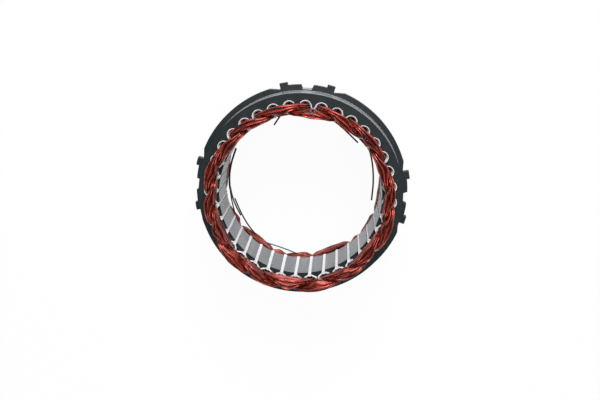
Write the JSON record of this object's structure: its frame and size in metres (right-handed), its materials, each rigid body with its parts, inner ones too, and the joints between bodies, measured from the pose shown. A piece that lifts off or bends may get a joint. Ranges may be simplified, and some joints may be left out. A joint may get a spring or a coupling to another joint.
{
  "type": "wound alternator stator",
  "caption": "Wound stator ring: lacquered lamination stack with toothed bore, white slot liners, red enamelled wave windings and dark lead ends.",
  "frame": {"origin": "on the bore's axis, in the middle of the lamination stack's length", "axes": "+Z along the bore's axis towards the front end winding, the side that faces up as the part lies; the lug groups stand on +X, +Y and -X"},
  "size_m": [0.1366, 0.1359, 0.0604],
  "materials": {
    "core_lacquer": "satin black lacquer over punched steel, with bare turned registers and bare tooth faces",
    "insulation": "smooth white insulating sheet",
    "enamelled_copper": "glossy red-brown wire enamel",
    "lead_black": "dark grey sleeving and varnish"
  },
  "bodies": {
    "root": {"lamination_stack": "core_lacquer", "slot_liner_01": "insulation", "slot_liner_02": "insulation", "slot_liner_03": "insulation", "slot_liner_04": "insulation", "slot_liner_05": "insulation", "slot_liner_06": "insulation", "slot_liner_07": "insulation", "slot_liner_08": "insulation", "slot_liner_09": "insulation", "slot_liner_10": "insulation", "slot_liner_11": "insulation", "slot_liner_12": "insulation", "slot_liner_13": "insulation", "slot_liner_14": "insulation", "slot_liner_15": "insulation", "slot_liner_16": "insulation", "slot_liner_17": "insulation", "slot_liner_18": "insulation", "slot_liner_19": "insulation", "slot_liner_20": "insulation", "slot_liner_21": "insulation", "slot_liner_22": "insulation", "slot_liner_23": "insulation", "slot_liner_24": "insulation", "slot_liner_25": "insulation", "slot_liner_26": "insulation", "slot_liner_27": "insulation", "slot_liner_28": "insulation", "slot_liner_29": "insulation", "slot_liner_30": "insulation", "slot_liner_31": "insulation", "slot_liner_32": "insulation", "slot_liner_33": "insulation", "slot_liner_34": "insulation", "slot_liner_35": "insulation", "slot_liner_36": "insulation", "slot_strips": "insulation", "phase_winding_u": "enamelled_copper", "phase_winding_v": "enamelled_copper", "phase_winding_w": "enamelled_copper", "lead_end_1": "lead_black", "lead_end_2": "lead_black", "lead_end_3": "lead_black", "lead_end_4": "lead_black", "lead_sleeve": "lead_black", "tail_end_1": "enamelled_copper", "tail_end_2": "enamelled_copper"}
  },
  "joints": []
}
